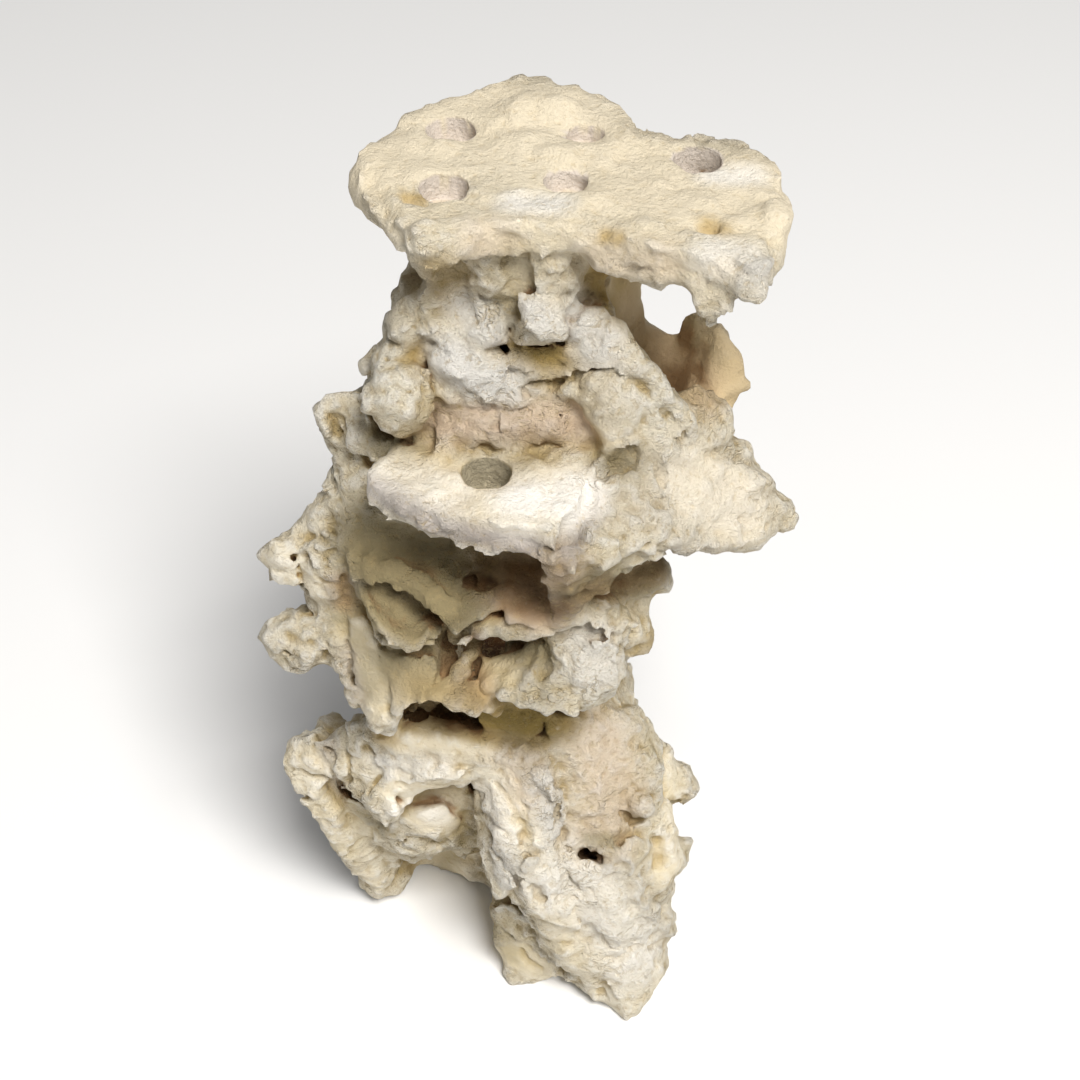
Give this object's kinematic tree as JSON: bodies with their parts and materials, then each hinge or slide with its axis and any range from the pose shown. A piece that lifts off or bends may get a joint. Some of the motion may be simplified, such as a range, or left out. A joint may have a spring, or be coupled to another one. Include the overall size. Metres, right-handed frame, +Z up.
{
  "type": "dry reef rock",
  "caption": "Tall tower of bleached porous reef rock with a broad flat top shelf, a smaller middle shelf, an arch, caves and drilled plug sockets for coral frags.",
  "frame": {"origin": "middle of the tower's box, on the surface that its cut feet stand on", "axes": "+Z up the tower, +X to the viewer's right, and -Y towards the viewer, on the side of the middle shelf"},
  "size_m": [0.1514, 0.114, 0.3075],
  "materials": {
    "reef_stone": "dry bleached coral rock, matt and porous"
  },
  "bodies": {
    "root": {"reef_rock": "reef_stone"}
  },
  "joints": []
}
